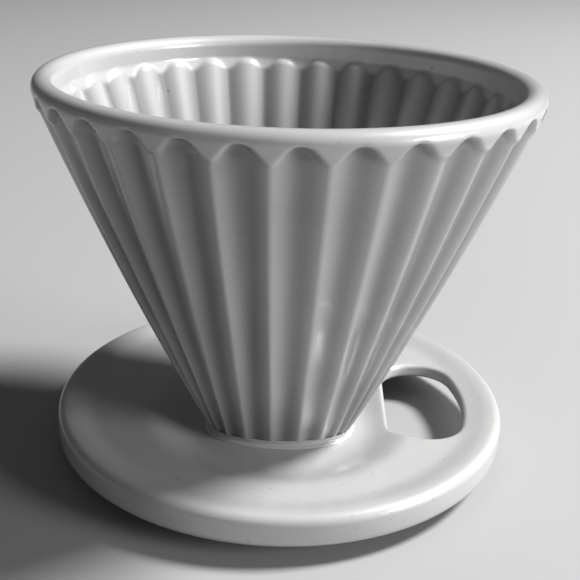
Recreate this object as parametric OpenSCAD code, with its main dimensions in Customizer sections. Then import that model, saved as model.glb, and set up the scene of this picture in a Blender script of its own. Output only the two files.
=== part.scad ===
// Pour-over coffee dripper: a fluted ceramic funnel stuck into the well of a saucer with a finger hole.
// Units are millimetres. Z = 0 is the foot of the locating ring and Z is the funnel's axis.
// The funnel is round at its rim and oval at its foot, long along X, towards the finger hole.
// The saucer's own centre lies a little behind the funnel's axis, along +Y.

/* [Funnel] */
// Outer diameter of the rim
rim_d = 104; // [86:1:126]
// Height of the funnel above the saucer's seat
funnel_h = 82.8; // [66:0.1:100]
// Thickness of the rolled rim
rim_t = 4.7; // [3.6:0.1:5.8]
// Wall between the two faces before flutes, ribs and the lip's step
wall_t = 4.2; // [3.4:0.1:5.1]
// Length of the oval foot
foot_l = 33.6; // [29:0.1:41]
// Width of the oval foot
foot_w = 21.2; // [17.5:0.1:25]
// How far the oval is squared off towards its corners
foot_square = 0.35; // [0:0.01:0.4]
// Outward bow of the wall between foot and rim, as a share of its spread
wall_bow = 0.13; // [0:0.01:0.2]

/* [Flutes] */
// Number of flutes round the funnel
flute_n = 32; // [24:1:36]
// Depth of an outside flute near the rim
flute_depth = 1.7; // [1:0.1:2.1]
// Depth of an outside flute at the foot
flute_depth_foot = 0.9; // [0.4:0.1:1.1]
// Height of an inside rib near the rim
rib_h = 1.1; // [0.5:0.1:1.4]
// Plain band between the top of the rim and the flute tops
band_h = 2.2; // [1.8:0.1:4]
// Height of the waves in the lip's lower edge, one to a flute
wave_h = 3.3; // [1.5:0.1:4]
// Step from the lip in to the fluted wall
lip_step = 0.35; // [0:0.05:0.5]
// Plain band inside, from the top of the rim to the rib tops
inner_band_h = 5; // [4:0.1:8]

/* [Saucer] */
// Diameter of the saucer
plate_d = 105.6; // [100:0.2:127]
// Distance of the saucer's centre behind the funnel's axis
plate_back = 8.3; // [0:0.1:9]
// Thickness of the saucer's web
plate_t = 3.4; // [2.8:0.1:4.2]
// Depth of the well that the funnel stands in
well_depth = 3.3; // [1:0.1:3.4]
// Width of the gentle slope round the well
well_slope = 12; // [9:0.1:13]
// Height of the thick outer edge
edge_h = 7.2; // [6:0.1:8.6]
// Width of the edge's flat underside with its rounding
edge_w = 5.2; // [4.5:0.1:6.2]
// Rise of the edge's crest above the web
crest_h = 1.2; // [0.4:0.1:2]
// Rounding of the outer edge
edge_r = 1.9; // [1:0.1:2.5]
// Flat margin of the seat beyond the joint bead
seat_margin = 1.3; // [1:0.1:2]

/* [Finger hole] */
// Length of the hole across the saucer
hole_l = 35.8; // [30:0.2:43]
// Web left between the seat and the straight inner side of the hole
hole_web = 6.1; // [5.4:0.1:7.4]
// Rim of saucer left outside the hole
hole_rim = 8.8; // [7.4:0.1:10.6]
// Corner radius of the hole
hole_corner = 8.3; // [4:0.1:9]

/* [Drain] */
// Number of drain holes
drain_n = 3; // [1:1:3]
// Diameter of a drain hole
drain_d = 4.5; // [3:0.1:5.4]
// Distance between drain holes
drain_pitch = 7.4; // [6.2:0.1:8.2]

/* [Locating ring] */
// Outer diameter of the ring
ring_d = 46; // [38:0.5:46]
// Width of the ring
ring_w = 3.4; // [2.6:0.1:4.2]
// Height of the ring below the saucer's boss
ring_h = 3; // [2.4:0.1:3.6]

/* [Joint] */
// Width of the slip bead round the foot
bead_w = 1.3; // [1:0.1:1.6]
// Height of the slip bead on the wall
bead_h = 1.8; // [1.4:0.1:2.2]

/* [Hidden] */

glaze = [0.78, 0.78, 0.77];
bare_clay = [0.86, 0.84, 0.80];
slip = [0.70, 0.70, 0.69];

// Heights
under_z = ring_h;
seat_z = under_z + plate_t;
flat_z = seat_z + well_depth;
web_z = flat_z - plate_t;
crest_z = flat_z + crest_h;
edge_z = crest_z - edge_h;
rim_z = seat_z + funnel_h;

// Funnel
rim_r = rim_d / 2;
lip_r = rim_t / 2;
lip_z = rim_z - lip_r;
neck_drop = 2.8;
neck_in = 0.5;
neck_z = lip_z - neck_drop;
neck_r = rim_r - neck_in;
foot_a = foot_l / 2;
foot_b = foot_w / 2;
samples = 8;
ring_points = flute_n * samples;
wave_sharpness = 2.8;
inner_wave = 0.6;
edge_fade = 1.4;
flute_turn = 2.4;
flute_phase = flute_turn - 90;
inner_bead_w = bead_w * 0.75;

// Saucer
plate_r = plate_d / 2;
crest_r = plate_r - edge_r;
crest_slope = 7;
seat_r = foot_a + bead_w + seat_margin;
well_r = seat_r + well_slope;
boss_r = max(ring_d / 2, seat_r) + 0.5;
boss_slope = 0.8 * well_slope;
boss_lap = 0.5;
hole_inner = seat_r + hole_web;
hole_outer = plate_r - hole_rim;
hole_depth = hole_outer - hole_inner;
corner = min(hole_corner, 0.45 * hole_depth);
skirt_slope = 2.2;
through = 1;

function clamp01(v) = max(0, min(1, v));
function smooth(v) = clamp01(v) * clamp01(v) * (3 - 2 * clamp01(v));

// Place of ring point j inside its flute: 0 in the valley, 0.5 on the crest
function place(j) = abs((j % samples) / samples - (j % samples > samples / 2 ? 1 : 0));
function angle(j) = flute_phase + 360 * j / ring_points;

// Shape of a flute across its width: 1 in the valley, 0 on the crest
function scallop(u) = 0.55 * cos(180 * u) + 0.225 * (1 + cos(360 * u));

// How far a point at height z is below a wavy edge: 0 above the edge, 1 well below it
function below_edge(u, z, top_z, height) =
    smooth((top_z - height * pow(sin(180 * u), wave_sharpness) - z) / edge_fade);

// Point of the squared oval whose outward normal points at angle q
function oval(q) =
    let (
        w = sqrt(pow(foot_a * cos(q), 2) + pow(foot_b * sin(q), 2)),
        out = -foot_square * cos(4 * q),
        along = 4 * foot_square * sin(4 * q)
    )
    [
        foot_a * foot_a * cos(q) / w + out * cos(q) - along * sin(q),
        foot_b * foot_b * sin(q) / w + out * sin(q) + along * cos(q)
    ];

// Point of the wall at height z, set in by inset along the normal
function rise(z) = clamp01((z - seat_z) / (neck_z - seat_z));
function spread(z) = rise(z) + wall_bow * rise(z) * (1 - rise(z));
function wall_point(q, z, inset) =
    let (mix = spread(z), flat = (1 - mix) * oval(q) + (mix * neck_r - inset) * [cos(q), sin(q)])
    [flat[0], flat[1], z];

function depth(z) = flute_depth_foot + (flute_depth - flute_depth_foot) * rise(z);
function rib(z) = rib_h * smooth(6 * rise(z));
function outer_cut(j, z) =
    (depth(z) * scallop(place(j)) + lip_step * rise(z))
    * below_edge(place(j), z, rim_z - band_h, wave_h);
function inner_cut(j, z) =
    wall_t
    + rib(z) * scallop(place(j)) * below_edge(place(j), z, rim_z - inner_band_h, inner_wave * wave_h);

function outer_ring(z) = [for (j = [0 : ring_points - 1]) wall_point(angle(j), z, outer_cut(j, z))];
function inner_ring(z) = [for (j = [0 : ring_points - 1]) wall_point(angle(j), z, inner_cut(j, z))];
function offset_ring(z, inset) = [for (j = [0 : ring_points - 1]) wall_point(angle(j), z, inset)];

// Rolled rim, from the outside over the top to the inside
function lip_ring(turn) =
    [for (j = [0 : ring_points - 1])
        let (r = rim_r - lip_r + lip_r * cos(turn))
        [r * cos(angle(j)), r * sin(angle(j)), lip_z + lip_r * sin(turn)]];

// Skin of a closed loop of rings; a ring listed in turned has its diagonals the other way
function skin(rings, turned) =
    [for (i = [0 : rings - 1], j = [0 : ring_points - 1])
        let (
            up = (i + 1) % rings,
            on = (j + 1) % ring_points,
            a = i * ring_points + j,
            b = up * ring_points + j,
            c = up * ring_points + on,
            d = i * ring_points + on
        )
        each (i == turned ? [[a, b, d], [b, c, d]] : [[a, b, c], [a, c, d]])];

module ring_solid(rings, turned) {
    polyhedron(points = [for (r = rings) each r], faces = skin(len(rings), turned));
}

// Quarter of a round edge in a profile, and a smooth slope between two heights
function arc(cx, cz, r, from, to) =
    [for (k = [0 : 6]) let (q = from + (to - from) * k / 6) [cx + r * cos(q), cz + r * sin(q)]];
function slope(r1, z1, r2, z2) =
    [for (k = [0 : 8]) [r1 + (r2 - r1) * k / 8, z1 + (z2 - z1) * smooth(k / 8)]];

module fluted_funnel() {
    color(glaze)
    ring_solid(concat(
        [outer_ring(seat_z), outer_ring(seat_z + bead_h)],
        [for (part = [0.25, 0.5, 0.75]) outer_ring(seat_z + part * (neck_z - seat_z))],
        [for (drop = [4.6, 3.2, 1.8, 0.5]) outer_ring(rim_z - band_h - drop)],
        [for (turn = [0 : 45 : 180]) lip_ring(turn)],
        [for (drop = [0.4, 2, 4]) inner_ring(rim_z - inner_band_h - drop)],
        [for (part = [0.75, 0.5, 0.25]) inner_ring(seat_z + part * (neck_z - seat_z))],
        [inner_ring(seat_z + bead_h), inner_ring(seat_z)]
    ), -1);
}

module hole_outline() {
    offset(r = corner, $fn = 48)
    intersection() {
        circle(r = hole_outer - corner, $fn = 180);
        translate([hole_inner + corner, -hole_l / 2 + corner])
        square([plate_r, hole_l - 2 * corner]);
    }
}

// Flat web with a thick edge that stands a little above it and well below it
module web_and_edge() {
    translate([0, plate_back, 0])
    rotate_extrude($fn = 180)
    polygon(concat(
        [[0, flat_z]],
        slope(crest_r - crest_slope, flat_z, crest_r, crest_z),
        arc(crest_r, crest_z - edge_r, edge_r, 75, 0),
        arc(crest_r, edge_z + edge_r, edge_r, 0, -90),
        [[plate_r - edge_w, edge_z], [plate_r - edge_w - skirt_slope, web_z], [0, web_z]]
    ));
}

// Conical boss under the well, which keeps the web thick enough there
module boss() {
    rotate_extrude($fn = 180)
    polygon(concat(
        [[0, under_z], [boss_r, under_z], [boss_r + boss_slope, web_z + boss_lap]],
        [[boss_r + boss_slope, web_z + plate_t / 2], [0, web_z + plate_t / 2]]
    ));
}

module well() {
    rotate_extrude($fn = 180)
    polygon(concat(
        [[0, seat_z]],
        slope(seat_r, seat_z, well_r, flat_z),
        [[well_r, flat_z + through], [0, flat_z + through]]
    ));
}

module saucer_plate() {
    color(glaze)
    difference() {
        union() {
            web_and_edge();
            boss();
        }
        well();
        translate([0, plate_back, under_z - through])
        linear_extrude(crest_z - under_z + 2 * through)
        hole_outline();
        for (k = [0 : drain_n - 1])
            translate([(k - (drain_n - 1) / 2) * drain_pitch, 0, under_z - through])
            cylinder(h = plate_t + 2 * through, d = drain_d, $fn = 48);
    }
}

module locating_ring() {
    color(bare_clay)
    difference() {
        cylinder(h = ring_h, d = ring_d, $fn = 180);
        translate([0, 0, -through])
        cylinder(h = ring_h + 2 * through, d = ring_d - 2 * ring_w, $fn = 180);
    }
}

module outer_joint_bead() {
    color(slip)
    ring_solid([
        offset_ring(seat_z, -bead_w),
        offset_ring(seat_z + 0.5 * bead_h, -0.75 * bead_w),
        outer_ring(seat_z + bead_h),
        outer_ring(seat_z)
    ], 2);
}

module inner_joint_bead() {
    color(slip)
    ring_solid([
        inner_ring(seat_z),
        inner_ring(seat_z + bead_h),
        offset_ring(seat_z + 0.4 * bead_h, wall_t + 0.6 * inner_bead_w),
        offset_ring(seat_z, wall_t + inner_bead_w)
    ], 0);
}

fluted_funnel();
saucer_plate();
locating_ring();
outer_joint_bead();
inner_joint_bead();
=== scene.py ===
import math

import bmesh
import bpy
from mathutils import Matrix, Vector
from mathutils.geometry import delaunay_2d_cdt


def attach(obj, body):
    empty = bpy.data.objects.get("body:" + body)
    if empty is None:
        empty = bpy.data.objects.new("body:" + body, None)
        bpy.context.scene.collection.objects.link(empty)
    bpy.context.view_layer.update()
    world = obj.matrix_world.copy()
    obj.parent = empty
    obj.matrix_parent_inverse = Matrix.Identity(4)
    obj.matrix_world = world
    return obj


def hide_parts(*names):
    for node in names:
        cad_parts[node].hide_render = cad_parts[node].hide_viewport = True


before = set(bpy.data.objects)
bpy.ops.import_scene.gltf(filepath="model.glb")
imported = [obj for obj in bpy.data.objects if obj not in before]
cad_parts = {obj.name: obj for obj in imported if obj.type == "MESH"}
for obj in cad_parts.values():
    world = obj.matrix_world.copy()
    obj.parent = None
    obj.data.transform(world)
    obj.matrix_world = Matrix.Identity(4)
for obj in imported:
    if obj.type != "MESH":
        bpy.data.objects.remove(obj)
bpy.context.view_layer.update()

mm = 0.001


# --- Fluted funnel -------------------------------------------------------------------------
# The real piece is stoneware slip, cast in a plaster mould with thirty-two flutes.
# The rim is left thick and sponged round; the foot is drawn in to an oval that takes a folded
# paper filter. The mesh is one skin: up the outside, over the rim and down the ribbed inside.

class Field:
    """A number worked out at every point of a mesh; arithmetic on it adds Math nodes."""

    def __init__(self, tree, socket):
        self.tree = tree
        self.socket = socket

    def math(self, operation, *others):
        node = self.tree.nodes.new("ShaderNodeMath")
        node.operation = operation
        for place, value in enumerate((self, *others)):
            if isinstance(value, Field):
                self.tree.links.new(value.socket, node.inputs[place])
            else:
                node.inputs[place].default_value = value
        return Field(self.tree, node.outputs[0])

    def __add__(self, other):
        return self.math("ADD", other)

    def __radd__(self, other):
        return self.math("ADD", other)

    def __sub__(self, other):
        return self.math("SUBTRACT", other)

    def __rsub__(self, other):
        return self.math("MULTIPLY_ADD", -1.0, other)

    def __mul__(self, other):
        return self.math("MULTIPLY", other)

    def __rmul__(self, other):
        return self.math("MULTIPLY", other)

    def __truediv__(self, other):
        return self.math("DIVIDE", other)

    def __pow__(self, other):
        return self.math("POWER", other)

    def cos(self):
        return self.math("COSINE")

    def sin(self):
        return self.math("SINE")

    def root(self):
        return self.math("SQRT")

    def clamped(self):
        field = self.math("ADD", 0.0)
        field.socket.node.use_clamp = True
        return field

    def eased(self):
        part = self.clamped()
        return part * part * (3.0 - 2.0 * part)


funnel_sizes = {
    "Flutes": 32,
    "Flute turn": math.radians(2.4 - 90),
    "Seat height": 6.4 * mm,
    "Rim height": 89.15 * mm,
    "Rim radius": 51.95 * mm,
    "Rim thickness": 4.7 * mm,
    "Neck drop": 2.8 * mm,
    "Neck step": 0.5 * mm,
    "Foot half length": 16.8 * mm,
    "Foot half width": 10.6 * mm,
    "Foot square": 0.35 * mm,
    "Wall bow": 0.13,
    "Flute depth": 1.7 * mm,
    "Flute depth at foot": 0.9 * mm,
    "Rib height": 1.1 * mm,
    "Rim band": 2.2 * mm,
    "Arch height": 3.3 * mm,
    "Inner band": 5.0 * mm,
    "Lip step": 0.35 * mm,
    "Unevenness": 0.25 * mm,
}


def funnel_tree(sizes):
    tree = bpy.data.node_groups.new("fluted_funnel_shape", "GeometryNodeTree")
    tree.interface.new_socket("Geometry", in_out="INPUT", socket_type="NodeSocketGeometry")
    for name, value in sizes.items():
        kind = "NodeSocketInt" if isinstance(value, int) else "NodeSocketFloat"
        tree.interface.new_socket(name, in_out="INPUT", socket_type=kind)
    tree.interface.new_socket("Glaze", in_out="INPUT", socket_type="NodeSocketMaterial")
    tree.interface.new_socket("Geometry", in_out="OUTPUT", socket_type="NodeSocketGeometry")
    nodes = tree.nodes
    join = tree.links.new
    given = nodes.new("NodeGroupInput")
    size = {name: Field(tree, given.outputs[name]) for name in sizes}

    # A flat grid: u runs once round the funnel, v runs up the outside and down the inside
    points_a_flute = 16
    rows = 176
    grid = nodes.new("GeometryNodeMeshGrid")
    grid.inputs["Size X"].default_value = 1.0
    grid.inputs["Size Y"].default_value = 1.0
    grid.inputs["Vertices Y"].default_value = rows
    join((size["Flutes"] * points_a_flute + 1.0).socket, grid.inputs["Vertices X"])
    position = nodes.new("GeometryNodeInputPosition")
    split = nodes.new("ShaderNodeSeparateXYZ")
    join(position.outputs[0], split.inputs[0])
    u = Field(tree, split.outputs["X"]) + 0.5
    v = Field(tree, split.outputs["Y"]) + 0.5

    # Stretches of v: outside wall, rolled rim, inside wall, sole of the foot
    wall_end, roll_end, inside_end = 0.48, 0.57, 0.985
    crowding = 1.8
    outside = (v / wall_end).clamped()
    roll = ((v - wall_end) / (roll_end - wall_end)).clamped() * math.pi
    inside = ((v - roll_end) / (inside_end - roll_end)).clamped()
    sole = ((v - inside_end) / (1.0 - inside_end)).clamped()
    is_inside = v.math("GREATER_THAN", (wall_end + roll_end) / 2)

    roll_r = size["Rim thickness"] * 0.5
    roll_z = size["Rim height"] - roll_r
    neck_z = roll_z - size["Neck drop"]
    wall_height = roll_z - size["Seat height"]
    climb = 1.0 - (1.0 - outside) ** crowding - inside ** crowding
    z = size["Seat height"] + wall_height * climb + roll_r * roll.sin()
    rise = ((z - size["Seat height"]) / (neck_z - size["Seat height"])).clamped()
    spread = rise + size["Wall bow"] * rise * (1.0 - rise)

    # Flutes: full in the valley, nothing on the crest, each under a wave of the thicker lip
    across = (u * size["Flutes"]).math("PINGPONG", 0.5)
    scallop = (across * math.pi).cos() * 0.55 + ((across * math.tau).cos() + 1.0) * 0.225
    wave = size["Arch height"] * (across * math.pi).sin() ** 2.8
    fade = 1.1 * mm
    flute_top = size["Rim height"] - size["Rim band"]
    rib_top = size["Rim height"] - size["Inner band"]
    below_lip = ((flute_top - wave - z) / fade).eased()
    below_band = ((rib_top - wave * 0.6 - z) / fade).eased()
    flute = scallop * below_lip
    rib = scallop * below_band * (rise * 6.0).eased()
    foot_fade = ((z - size["Seat height"]) / (3.0 * mm)).eased()
    depth = size["Flute depth at foot"]
    depth = (depth + (size["Flute depth"] - depth) * rise) * foot_fade
    neck_out = size["Neck step"] * ((z - neck_z) / size["Neck drop"]).eased()

    # The hand's small unevenness, only ever inwards
    q = u * math.tau + size["Flute turn"]
    cos_q, sin_q = q.cos(), q.sin()
    where = nodes.new("ShaderNodeCombineXYZ")
    for axis, field in enumerate((cos_q, sin_q, z * 20.0)):
        join(field.socket, where.inputs[axis])
    noise = nodes.new("ShaderNodeTexNoise")
    noise.inputs["Scale"].default_value = 2.3
    noise.inputs["Detail"].default_value = 1.0
    join(where.outputs[0], noise.inputs["Vector"])
    uneven = Field(tree, noise.outputs["Fac"]) * size["Unevenness"]

    cut = flute * depth + size["Lip step"] * below_lip * rise
    outer_inset = cut - neck_out
    inner_inset = rib * size["Rib height"] - size["Neck step"]
    inset = outer_inset + is_inside * (inner_inset - outer_inset)
    inset = inset + roll_r * (1.0 - roll.cos())
    inset = inset * (1.0 - sole) + uneven

    # Oval foot, squared off a little, as points with the same outward normal as the rim
    half_l, half_w = size["Foot half length"], size["Foot half width"]
    reach = ((half_l * cos_q) ** 2.0 + (half_w * sin_q) ** 2.0).root()
    square_out = size["Foot square"] * (q * 4.0).cos() * -1.0
    square_along = size["Foot square"] * (q * 4.0).sin() * 4.0
    foot_x = half_l * half_l * cos_q / reach + square_out * cos_q - square_along * sin_q
    foot_y = half_w * half_w * sin_q / reach + square_out * sin_q + square_along * cos_q
    reach_r = spread * (size["Rim radius"] - size["Neck step"]) - inset
    x = (1.0 - spread) * foot_x + reach_r * cos_q
    y = (1.0 - spread) * foot_y + reach_r * sin_q

    # Painted shade in the flute valleys and the grooves between the inside ribs, with some glaze
    # pooling: a mask that darkens the colour there, none on the crests
    pool_shade = nodes.new("GeometryNodeStoreNamedAttribute")
    pool_shade.inputs["Name"].default_value = "pool_and_painted_shade"
    pool_shade_depth = flute + is_inside * (below_band * (1.0 - scallop) - flute)
    join(grid.outputs["Mesh"], pool_shade.inputs["Geometry"])
    join(pool_shade_depth.socket, pool_shade.inputs["Value"])

    point = nodes.new("ShaderNodeCombineXYZ")
    for axis, field in enumerate((x, y, z)):
        join(field.socket, point.inputs[axis])
    place = nodes.new("GeometryNodeSetPosition")
    join(pool_shade.outputs["Geometry"], place.inputs["Geometry"])
    join(point.outputs[0], place.inputs["Position"])
    weld = nodes.new("GeometryNodeMergeByDistance")
    weld.inputs["Distance"].default_value = 0.002 * mm
    join(place.outputs["Geometry"], weld.inputs["Geometry"])
    shade = nodes.new("GeometryNodeSetShadeSmooth")
    join(weld.outputs["Geometry"], shade.inputs["Geometry"])
    realize = nodes.new("GeometryNodeRealizeInstances")
    join(shade.outputs["Geometry"], realize.inputs["Geometry"])
    glaze = nodes.new("GeometryNodeSetMaterial")
    join(realize.outputs["Geometry"], glaze.inputs["Geometry"])
    join(given.outputs["Glaze"], glaze.inputs["Material"])
    out = nodes.new("NodeGroupOutput")
    join(glaze.outputs["Geometry"], out.inputs["Geometry"])
    return tree


def bake_tree(name, tree, values):
    """Run a Geometry Nodes tree with these inputs and keep its result as a plain mesh."""
    source = bpy.data.objects.new(name + "_source", bpy.data.meshes.new(name + "_source"))
    bpy.context.scene.collection.objects.link(source)
    modifier = source.modifiers.new("shape", "NODES")
    modifier.node_group = tree
    for socket in tree.interface.items_tree:
        if socket.in_out == "INPUT" and socket.name in values:
            modifier[socket.identifier] = values[socket.name]
    bpy.context.view_layer.update()
    evaluated = source.evaluated_get(bpy.context.evaluated_depsgraph_get())
    mesh = bpy.data.meshes.new_from_object(evaluated)
    mesh.name = name
    source.modifiers.remove(modifier)
    bpy.data.objects.remove(source)
    piece = bpy.data.objects.new(name, mesh)
    bpy.context.scene.collection.objects.link(piece)
    return piece


def glaze_marks_group():
    """Marks that any fired glaze has: soft clouds, fine specks, pinholes and orange peel."""
    group = bpy.data.node_groups.new("glaze_marks", "ShaderNodeTree")
    for name, value in (("Clouds", 45.0), ("Specks", 750.0), ("Pinholes", 240.0)):
        socket = group.interface.new_socket(name, in_out="INPUT", socket_type="NodeSocketFloat")
        socket.default_value = value
    for name in ("Cloud", "Speck", "Pinhole", "Height"):
        group.interface.new_socket(name, in_out="OUTPUT", socket_type="NodeSocketFloat")
    nodes, join = group.nodes, group.links.new
    given = nodes.new("NodeGroupInput")
    out = nodes.new("NodeGroupOutput")
    coords = nodes.new("ShaderNodeTexCoord")

    def noise(scale, detail):
        node = nodes.new("ShaderNodeTexNoise")
        join(coords.outputs["Object"], node.inputs["Vector"])
        node.inputs["Detail"].default_value = detail
        if isinstance(scale, float):
            node.inputs["Scale"].default_value = scale
        else:
            join(scale, node.inputs["Scale"])
        return Field(group, node.outputs["Fac"])

    def dots(scale, radius, share):
        """Round dots of one radius in a share of the cells."""
        node = nodes.new("ShaderNodeTexVoronoi")
        join(coords.outputs["Object"], node.inputs["Vector"])
        join(scale, node.inputs["Scale"])
        pick = nodes.new("ShaderNodeSeparateColor")
        join(node.outputs["Color"], pick.inputs[0])
        chosen = Field(group, pick.outputs[0]).math("LESS_THAN", share)
        size = Field(group, pick.outputs[1]) * radius + radius * 0.4
        return (1.0 - Field(group, node.outputs["Distance"]) / size).clamped() * chosen

    cloud = noise(given.outputs["Clouds"], 3.0)
    peel = noise(170.0, 1.0)
    speck = dots(given.outputs["Specks"], 0.25, 0.2)
    pinhole = dots(given.outputs["Pinholes"], 0.1, 0.06)
    height = peel * 0.5 - pinhole * 3.0
    join(cloud.socket, out.inputs["Cloud"])
    join(speck.socket, out.inputs["Speck"])
    join(pinhole.socket, out.inputs["Pinhole"])
    join(height.socket, out.inputs["Height"])
    return group


glaze_marks = glaze_marks_group()


def glaze_material(name, thin, pooled_and_shaded, speck_strength, roughness, pool_shading):
    """Glossy grey glaze with kiln marks, mixed between a light and a dark tone by soft clouds; with
    the valley mask, the dark tone in the valleys is painted shade, with some glaze pooling.
    """
    material = bpy.data.materials.new(name)
    material.use_nodes = True
    nodes, join = material.node_tree.nodes, material.node_tree.links.new
    shader = nodes["Principled BSDF"]
    marks = nodes.new("ShaderNodeGroup")
    marks.node_tree = glaze_marks

    def blend(kind, amount, first, second):
        node = nodes.new("ShaderNodeMix")
        node.data_type = "RGBA"
        node.blend_type = kind
        for place, value in ((0, amount), (6, first), (7, second)):
            socket = node.inputs[place]
            if isinstance(value, bpy.types.NodeSocket):
                join(value, socket)
            else:
                socket.default_value = value
        return node.outputs[2]

    tree = material.node_tree
    amount = Field(tree, marks.outputs["Cloud"])
    # Painted shade: the valley mask darkens flute valleys and rib grooves, with some glaze pooling
    if pool_shading:
        pool_shade = nodes.new("ShaderNodeAttribute")
        pool_shade.attribute_name = "pool_and_painted_shade"
        amount = Field(tree, pool_shade.outputs["Fac"]) * 0.7 + amount * 0.3
    tone = blend("MIX", amount.clamped().socket, (*thin, 1), (*pooled_and_shaded, 1))
    mottled = blend("MULTIPLY", (Field(tree, marks.outputs["Speck"]) * speck_strength).socket,
                    tone, (0.45, 0.45, 0.45, 1))
    pitted = blend("MULTIPLY", marks.outputs["Pinhole"], mottled, (0.25, 0.25, 0.25, 1))
    join(pitted, shader.inputs["Base Color"])
    rough = Field(tree, marks.outputs["Cloud"]) * 0.12 + roughness
    join(rough.socket, shader.inputs["Roughness"])
    bump = nodes.new("ShaderNodeBump")
    bump.inputs["Strength"].default_value = 0.14
    bump.inputs["Distance"].default_value = 0.12 * mm
    join(marks.outputs["Height"], bump.inputs["Height"])
    join(bump.outputs["Normal"], shader.inputs["Normal"])
    shader.inputs["IOR"].default_value = 1.52
    shader.inputs["Coat Weight"].default_value = 0.6
    shader.inputs["Coat Roughness"].default_value = 0.07
    return material


# The funnel's dark tone is painted shade in its valleys, with some glaze pooling
funnel_glaze = glaze_material("funnel_glaze", thin=(0.4, 0.4, 0.397),
                              pooled_and_shaded=(0.12, 0.12, 0.119),
                              speck_strength=0.3, roughness=0.28, pool_shading=True)
funnel = bake_tree("funnel", funnel_tree(funnel_sizes), {**funnel_sizes, "Glaze": funnel_glaze})
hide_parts("fluted_funnel")
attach(funnel, "root")


# --- Saucer plate --------------------------------------------------------------------------
# A pressed disc of the same stoneware with a thick edge that stands a little above its web.
# A shallow well takes the funnel's foot. The finger hole is cut beside it and sponged round,
# and three drain holes are punched in a row along the oval foot.

plate_centre = Vector((0, 8.3 * mm))
plate_r = 52.7 * mm
seat_z = funnel_sizes["Seat height"]
flat_z = 9.7 * mm
web_z = 6.3 * mm
under_z = 3 * mm
crest_z = 10.9 * mm
edge_z = 3.7 * mm
edge_r = 1.9 * mm
edge_w = 5 * mm
edge_slope = 2.4 * mm
crest_r = plate_r - edge_r
crest_slope = 7 * mm
seat_r = 19.4 * mm
well_slope = 12 * mm
boss_r = 23.5 * mm
boss_steepness = 3.8 / 9.6


def eased_part(value, start, length):
    part = min(1, max(0, (value - start) / length))
    return part * part * (3 - 2 * part)


def plate_top(p):
    crest = eased_part((p - plate_centre).length, crest_r - crest_slope, crest_slope)
    well = 1 - eased_part(p.length, seat_r, well_slope)
    return flat_z + (crest_z - flat_z) * crest - (flat_z - seat_z) * well


def plate_under(p):
    edge = eased_part((p - plate_centre).length, plate_r - edge_w - edge_slope, edge_slope)
    boss_z = max(under_z, under_z + (p.length - boss_r) * boss_steepness)
    return min(web_z - (web_z - edge_z) * edge, boss_z)


def arc_points(centre, radius, start, end, count):
    """Points on an arc, each with the outward direction of the edge there."""
    for k in range(count):
        angle = start + (end - start) * k / count
        way = Vector((math.cos(angle), math.sin(angle)))
        yield Vector(centre) + way * radius, way


def finger_hole_edge():
    inner, outer, half_l, corner = 25.5 * mm, 44 * mm, 17.9 * mm, 8.3 * mm
    core_y = half_l - corner
    near_x = inner + corner
    far_x = math.sqrt((outer - corner) ** 2 - core_y ** 2)
    swing = math.atan2(core_y, far_x)
    quarter = math.pi / 2
    edge = list(arc_points((0, 0), outer, -swing, swing, 34))
    edge += arc_points((far_x, core_y), corner, swing, quarter, 18)
    edge += arc_points((near_x, core_y), corner, quarter, 2 * quarter, 22)
    edge += [(Vector((inner, core_y * (1 - k / 12))), Vector((-1, 0))) for k in range(24)]
    edge += arc_points((near_x, -core_y), corner, 2 * quarter, 3 * quarter, 22)
    edge += arc_points((far_x, -core_y), corner, 3 * quarter, 4 * quarter - swing, 18)
    return [(p + plate_centre, way) for p, way in edge]


def drain_hole_edge(x):
    return list(arc_points((x, 0), 2.25 * mm, 0, math.tau, 32))


plate_openings = [(finger_hole_edge(), 1.1 * mm)]
plate_openings += [(drain_hole_edge(x * mm), 0.5 * mm) for x in (-7.4, 0, 7.4)]


def inside_loop(point, loop):
    hit = False
    for a, b in zip(loop, loop[1:] + loop[:1]):
        if (a.y > point.y) != (b.y > point.y):
            if point.x < a.x + (b.x - a.x) * (point.y - a.y) / (b.y - a.y):
                hit = not hit
    return hit


def add_strip(bm, lower, upper):
    """Close a band between two loops of points that match one to one."""
    low = [bm.verts.new(p) for p in lower]
    high = [bm.verts.new(p) for p in upper]
    for k in range(len(low)):
        n = (k + 1) % len(low)
        bm.faces.new((low[k], low[n], high[n], high[k]))


def circle_loop(centre, r, z, count):
    turns = [math.tau * k / count for k in range(count)]
    return [Vector((centre.x + r * math.cos(t), centre.y + r * math.sin(t), z)) for t in turns]


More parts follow.
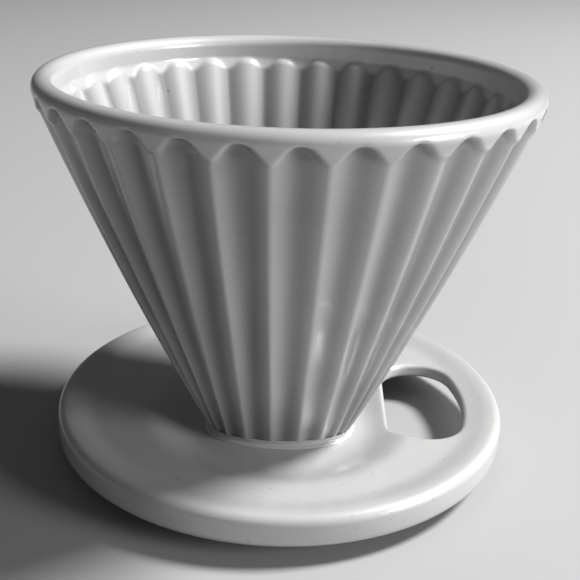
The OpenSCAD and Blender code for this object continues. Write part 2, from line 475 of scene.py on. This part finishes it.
def saucer_mesh():
    bm = bmesh.new()
    rim_count = 240
    loops = [[p.to_2d() for p in circle_loop(plate_centre, crest_r, 0, rim_count)]]
    loops += [[p + way * soft for p, way in edge] for edge, soft in plate_openings]
    spacing = 0.95 * mm
    points = [p for loop in loops for p in loop]
    fixed = points[:]
    edges = []
    start = 0
    for loop in loops:
        edges += [(start + k, start + (k + 1) % len(loop)) for k in range(len(loop))]
        start += len(loop)
    near = {}
    for p in fixed:
        near.setdefault((round(p.x / spacing), round(p.y / spacing)), []).append(p)
    r = spacing
    while r < crest_r - 0.4 * spacing:
        count = max(6, round(math.tau * r / (1.25 * spacing)))
        for k in range(count):
            turn = math.tau * k / count
            p = plate_centre + Vector((r * math.cos(turn), r * math.sin(turn)))
            cell = (round(p.x / spacing), round(p.y / spacing))
            close = [q for i in (-1, 0, 1) for j in (-1, 0, 1)
                     for q in near.get((cell[0] + i, cell[1] + j), [])]
            if all((p - q).length > 0.55 * spacing for q in close):
                if not any(inside_loop(p, loop) for loop in loops[1:]):
                    points.append(p)
        r += spacing
    flat, _, faces, _, _, _ = delaunay_2d_cdt(points, edges, [], 0, 1e-9)
    for surface, flip in ((plate_top, False), (plate_under, True)):
        verts = [bm.verts.new((p.x, p.y, surface(p))) for p in flat]
        for face in faces:
            middle = sum((flat[k] for k in face), Vector((0, 0))) / len(face)
            if not any(inside_loop(middle, loop) for loop in loops[1:]):
                corners = [verts[k] for k in face]
                bm.faces.new(corners[::-1] if flip else corners)
    bmesh.ops.delete(bm, geom=[v for v in bm.verts if not v.link_faces], context="VERTS")

    # Outer edge: rounded over at the top and bottom
    steps = 8
    outline = []
    for middle_z, start in ((edge_z + edge_r, -math.pi / 2), (crest_z - edge_r, 0)):
        for k in range(steps + 1):
            angle = start + math.pi / 2 * k / steps
            outline.append((crest_r + edge_r * math.cos(angle),
                            middle_z + edge_r * math.sin(angle)))
    for low, high in zip(outline, outline[1:]):
        add_strip(bm, circle_loop(plate_centre, *low, rim_count),
                  circle_loop(plate_centre, *high, rim_count))

    # Openings: rounded into the wall from above and below
    round_steps = 6
    for edge, soft in plate_openings:
        rings = []
        for surface, sign, order in ((plate_top, -1, range(round_steps + 1)),
                                     (plate_under, 1, range(round_steps, -1, -1))):
            for k in order:
                angle = math.pi / 2 * k / round_steps
                out = soft * (1 - math.sin(angle))
                sink = sign * soft * (1 - math.cos(angle))
                ring = [p + way * out for p, way in edge]
                rings.append([Vector((p.x, p.y, surface(p) + sink)) for p in ring])
        for high, low in zip(rings, rings[1:]):
            add_strip(bm, high, low)
    bmesh.ops.remove_doubles(bm, verts=bm.verts, dist=0.005 * mm)
    return bm


def finish_mesh(name, bm, material):
    """Turn the built faces into a smooth-shaded piece with one material."""
    bmesh.ops.recalc_face_normals(bm, faces=bm.faces)
    mesh = bpy.data.meshes.new(name)
    bm.to_mesh(mesh)
    bm.free()
    mesh.shade_smooth()
    mesh.materials.append(material)
    piece = bpy.data.objects.new(name, mesh)
    bpy.context.scene.collection.objects.link(piece)
    return piece


saucer_glaze = glaze_material("saucer_glaze", thin=(0.41, 0.41, 0.407), pooled_and_shaded=(0.34, 0.34, 0.337),
                              speck_strength=0.65, roughness=0.29, pool_shading=False)
saucer = finish_mesh("saucer", saucer_mesh(), saucer_glaze)
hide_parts("saucer_plate")
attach(saucer, "root")


# --- Locating ring -------------------------------------------------------------------------
# A low ring turned on the saucer's underside. It drops into the mouth of a mug and carries
# the dripper, so its foot is wiped clean of glaze and left as bare, slightly rough clay.

ring_ro = 23 * mm
ring_ri = 19.6 * mm
ring_round = 0.7 * mm


def ring_mesh():
    bm = bmesh.new()
    axis = Vector((0, 0))
    outline = [(ring_ri, under_z)]
    for centre_r, start in ((ring_ri + ring_round, 180), (ring_ro - ring_round, 270)):
        for k in range(7):
            angle = math.radians(start + 90 * k / 6)
            outline.append((centre_r + ring_round * math.cos(angle),
                            ring_round + ring_round * math.sin(angle)))
    outline.append((ring_ro, under_z))
    for a, b in zip(outline, outline[1:] + outline[:1]):
        add_strip(bm, circle_loop(axis, *a, 160), circle_loop(axis, *b, 160))
    bmesh.ops.remove_doubles(bm, verts=bm.verts, dist=0.002 * mm)
    return bm


def clay_material():
    material = bpy.data.materials.new("bare_clay")
    material.use_nodes = True
    nodes, join = material.node_tree.nodes, material.node_tree.links.new
    shader = nodes["Principled BSDF"]
    marks = nodes.new("ShaderNodeGroup")
    marks.node_tree = glaze_marks
    marks.inputs["Clouds"].default_value = 160.0
    ramp = nodes.new("ShaderNodeValToRGB")
    ramp.color_ramp.elements[0].color = (0.58, 0.56, 0.52, 1)
    ramp.color_ramp.elements[1].color = (0.74, 0.72, 0.68, 1)
    join(marks.outputs["Cloud"], ramp.inputs["Fac"])
    join(ramp.outputs["Color"], shader.inputs["Base Color"])
    tree = material.node_tree
    grit = Field(tree, marks.outputs["Height"]) + Field(tree, marks.outputs["Speck"])
    bump = nodes.new("ShaderNodeBump")
    bump.inputs["Strength"].default_value = 0.6
    bump.inputs["Distance"].default_value = 0.1 * mm
    join(grit.socket, bump.inputs["Height"])
    join(bump.outputs["Normal"], shader.inputs["Normal"])
    shader.inputs["Roughness"].default_value = 0.85
    return material


ring = finish_mesh("foot_ring", ring_mesh(), clay_material())
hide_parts("locating_ring")
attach(ring, "root")


# --- Joint beads ---------------------------------------------------------------------------
# Where the funnel is stuck to the saucer, slip is pressed out and runs into a thin roll round
# the foot, outside and inside. Glaze gathers on it, so it is the glossiest line on the piece.

def foot_point(angle, out):
    """Point of the funnel's oval foot, moved outwards along its normal."""
    half_l, half_w = funnel_sizes["Foot half length"], funnel_sizes["Foot half width"]
    square = funnel_sizes["Foot square"]
    c, s = math.cos(angle), math.sin(angle)
    reach = math.hypot(half_l * c, half_w * s)
    push = out - square * math.cos(4 * angle)
    along = 4 * square * math.sin(4 * angle)
    return Vector((half_l ** 2 * c / reach + push * c - along * s,
                   half_w ** 2 * s / reach + push * s + along * c))


def bead_mesh(outline):
    """Closed roll round the foot; outline is pairs of distance out from the foot and height."""
    bm = bmesh.new()
    count = 384
    rings = []
    for out, height in outline:
        ring = [foot_point(math.tau * k / count, out * mm) for k in range(count)]
        rings.append([Vector((p.x, p.y, seat_z + height * mm)) for p in ring])
    for a, b in zip(rings, rings[1:] + rings[:1]):
        add_strip(bm, a, b)
    bmesh.ops.remove_doubles(bm, verts=bm.verts, dist=0.002 * mm)
    return bm


joint_glaze = glaze_material("joint_glaze", thin=(0.46, 0.46, 0.455), pooled_and_shaded=(0.38, 0.38, 0.377),
                             speck_strength=0.3, roughness=0.12, pool_shading=False)
roll = [(1.25 - 0.55 + 0.55 * math.cos(math.radians(a)), 0.55 * math.sin(math.radians(a)))
        for a in range(0, 91, 15)]
outer_outline = [(-0.4, 0.0), *roll, (0.55, 0.75), (0.6, 1.1), (0.75, 1.5), (0.95, 1.8), (0.3, 1.8)]
inner_outline = [(-5.1, 0.0), (-4.95, 0.35), (-4.6, 0.7), (-4.1, 1.1), (-3.7, 1.75),
                 (-3.4, 1.75), (-3.8, 0.0)]
outer_bead = finish_mesh("outer_bead", bead_mesh(outer_outline), joint_glaze)
inner_bead = finish_mesh("inner_bead", bead_mesh(inner_outline), joint_glaze)
for bead, node in ((outer_bead, "outer_joint_bead"), (inner_bead, "inner_joint_bead")):
    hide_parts(node)
    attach(bead, "root")


# --- Studio --------------------------------------------------------------------------------
# A pale table, one broad lamp high on the right, two weaker ones in front, and a camera that
# looks down a little on the funnel's mouth.

def studio_plane(name, size, z):
    bm = bmesh.new()
    bmesh.ops.create_grid(bm, x_segments=1, y_segments=1, size=size)
    bmesh.ops.translate(bm, verts=bm.verts, vec=(0, 0, z))
    material = bpy.data.materials.new(name + "_paint")
    material.use_nodes = True
    shader = material.node_tree.nodes["Principled BSDF"]
    shader.inputs["Base Color"].default_value = (0.3, 0.3, 0.3, 1)
    shader.inputs["Roughness"].default_value = 0.9
    return finish_mesh(name, bm, material)


floor = studio_plane("floor", 3.0, -0.0002)


def lamp(name, place, aim, size, power):
    light = bpy.data.lights.new(name, "AREA")
    light.shape = "DISK"
    light.size = size
    light.energy = power
    holder = bpy.data.objects.new(name, light)
    holder.location = place
    holder.rotation_euler = (Vector(aim) - Vector(place)).to_track_quat("-Z", "Y").to_euler()
    bpy.context.scene.collection.objects.link(holder)


lamp("key", (1.144, 0.22, 1.392), (0, 0, 0.05), 0.45, 72)
lamp("front_fill", (0.68, -0.34, 0.24), (0, 0, 0.05), 0.3, 5)
lamp("left_fill", (-0.5, -0.6, 0.3), (0, 0, 0.05), 0.4, 0.15)

world = bpy.data.worlds.new("studio")
world.use_nodes = True
sky = world.node_tree.nodes["Background"]
sky.inputs["Color"].default_value = (1, 1, 1, 1)
sky.inputs["Strength"].default_value = 0.09
bpy.context.scene.world = world

camera_data = bpy.data.cameras.new("camera")
camera_data.lens = 61.8
camera_data.sensor_width = 36
camera = bpy.data.objects.new("camera", camera_data)
yaw, pitch, roll_angle = 0.007, 0.395, 0.035
ahead = Vector((math.sin(yaw) * math.cos(pitch), math.cos(yaw) * math.cos(pitch), -math.sin(pitch)))
level = Vector((math.cos(yaw), -math.sin(yaw), 0))
upward = level.cross(ahead)
right = level * math.cos(roll_angle) + upward * math.sin(roll_angle)
above = upward * math.cos(roll_angle) - level * math.sin(roll_angle)
facing = Matrix((right, above, -ahead)).transposed().to_4x4()
camera.matrix_world = Matrix.Translation((0, -205.2 * mm, 126.3 * mm)) @ facing
bpy.context.scene.collection.objects.link(camera)
bpy.context.scene.camera = camera
bpy.context.scene.view_settings.view_transform = "Standard"
